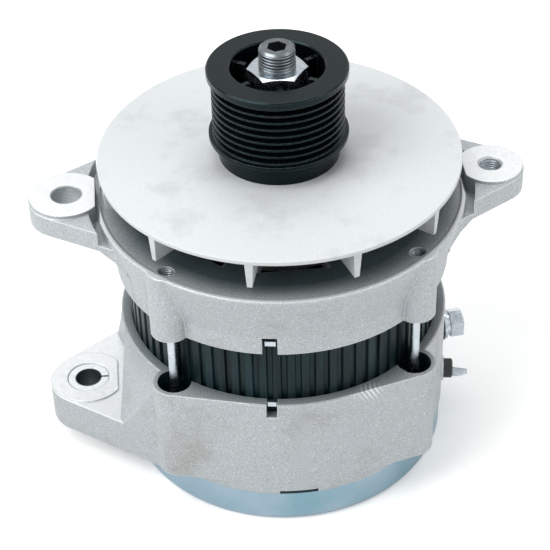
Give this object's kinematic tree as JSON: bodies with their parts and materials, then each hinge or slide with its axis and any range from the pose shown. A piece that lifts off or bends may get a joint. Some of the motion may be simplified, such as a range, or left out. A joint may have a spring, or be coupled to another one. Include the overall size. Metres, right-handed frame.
{
  "type": "alternator head",
  "caption": "Belt-driven alternator with a disc fan, grooved pulley, two-part cast case round a bare stator, hinge and strap ears, output stud and rear cover.",
  "frame": {"origin": "centre of the rear cover's resting face", "axes": "+Z along the shaft towards the pulley, +X towards the threaded ear, hinge ears on -X"},
  "size_m": [0.2331, 0.173, 0.217],
  "materials": {
    "cast_aluminium": "sand-cast, lightly blasted",
    "fan_aluminium": "die-cast, clean",
    "zinc_plate": "bright zinc plate",
    "black_pulley": "satin black oxide",
    "stator_varnish": "dark impregnating varnish",
    "copper_winding": "enamelled copper",
    "machined_steel": "turned and ground",
    "black_plastic": "moulded"
  },
  "bodies": {
    "housing": {"bearing_retainer": "machined_steel", "cover_screws": "zinc_plate", "field_bobbin": "black_plastic", "field_coil": "copper_winding", "field_core": "machined_steel", "field_core_screws": "machined_steel", "front_bearing_outer_ring": "machined_steel", "front_bracket": "cast_aluminium", "negative_diodes": "machined_steel", "negative_heat_sink": "cast_aluminium", "output_insulator": "black_plastic", "output_nut": "zinc_plate", "output_spring_washer": "zinc_plate", "output_strap": "copper_winding", "output_stud": "machined_steel", "output_washer": "zinc_plate", "phase_blade": "zinc_plate", "phase_insulator": "black_plastic", "positive_diodes": "machined_steel", "positive_heat_sink": "cast_aluminium", "rear_bearing_outer_ring": "machined_steel", "rear_bracket": "cast_aluminium", "rear_cover": "zinc_plate", "rectifier_posts": "black_plastic", "rectifier_screws": "zinc_plate", "regulator_screws": "zinc_plate", "retainer_screws": "machined_steel", "stator_core": "stator_varnish", "stator_keys": "zinc_plate", "stator_winding": "copper_winding", "through_bolts": "zinc_plate", "voltage_regulator": "black_plastic"},
    "rotor": {"rotor_shaft": "machined_steel", "front_claw_pole": "machined_steel", "rear_claw_pole": "machined_steel", "pole_joining_ring": "machined_steel", "rotor_spacer": "machined_steel", "fan_spacer": "machined_steel", "front_bearing_inner_ring": "machined_steel", "rear_bearing_inner_ring": "machined_steel", "fan": "fan_aluminium", "pulley": "black_pulley", "pulley_key": "machined_steel", "lock_washer": "zinc_plate", "pulley_nut": "zinc_plate"},
    "front_cage": {"front_bearing_balls": "machined_steel", "front_bearing_cage": "black_plastic"},
    "rear_cage": {"rear_bearing_balls": "machined_steel", "rear_bearing_cage": "black_plastic"},
    "bush": {"split_bush": "zinc_plate"}
  },
  "joints": [
    {"name": "rotor_spin", "type": "hinge", "parent": "housing", "child": "rotor", "pos_m": [0, 0, 0.1], "axis": [0, 0, 1], "continuous": true},
    {"name": "front_cage_spin", "type": "hinge", "parent": "housing", "child": "front_cage", "pos_m": [0, 0, 0.1295], "axis": [0, 0, 1], "continuous": true},
    {"name": "rear_cage_spin", "type": "hinge", "parent": "housing", "child": "rear_cage", "pos_m": [0, 0, 0.0325], "axis": [0, 0, 1], "continuous": true},
    {"name": "bush_slide", "type": "slide", "parent": "housing", "child": "bush", "axis": [0, 0, 1], "range_m": [-0.001, 0.001]}
  ],
  "couplings": [
    {"joint": "front_cage_spin", "follows": "rotor_spin", "ratio": 0.3678},
    {"joint": "rear_cage_spin", "follows": "rotor_spin", "ratio": 0.3677}
  ]
}
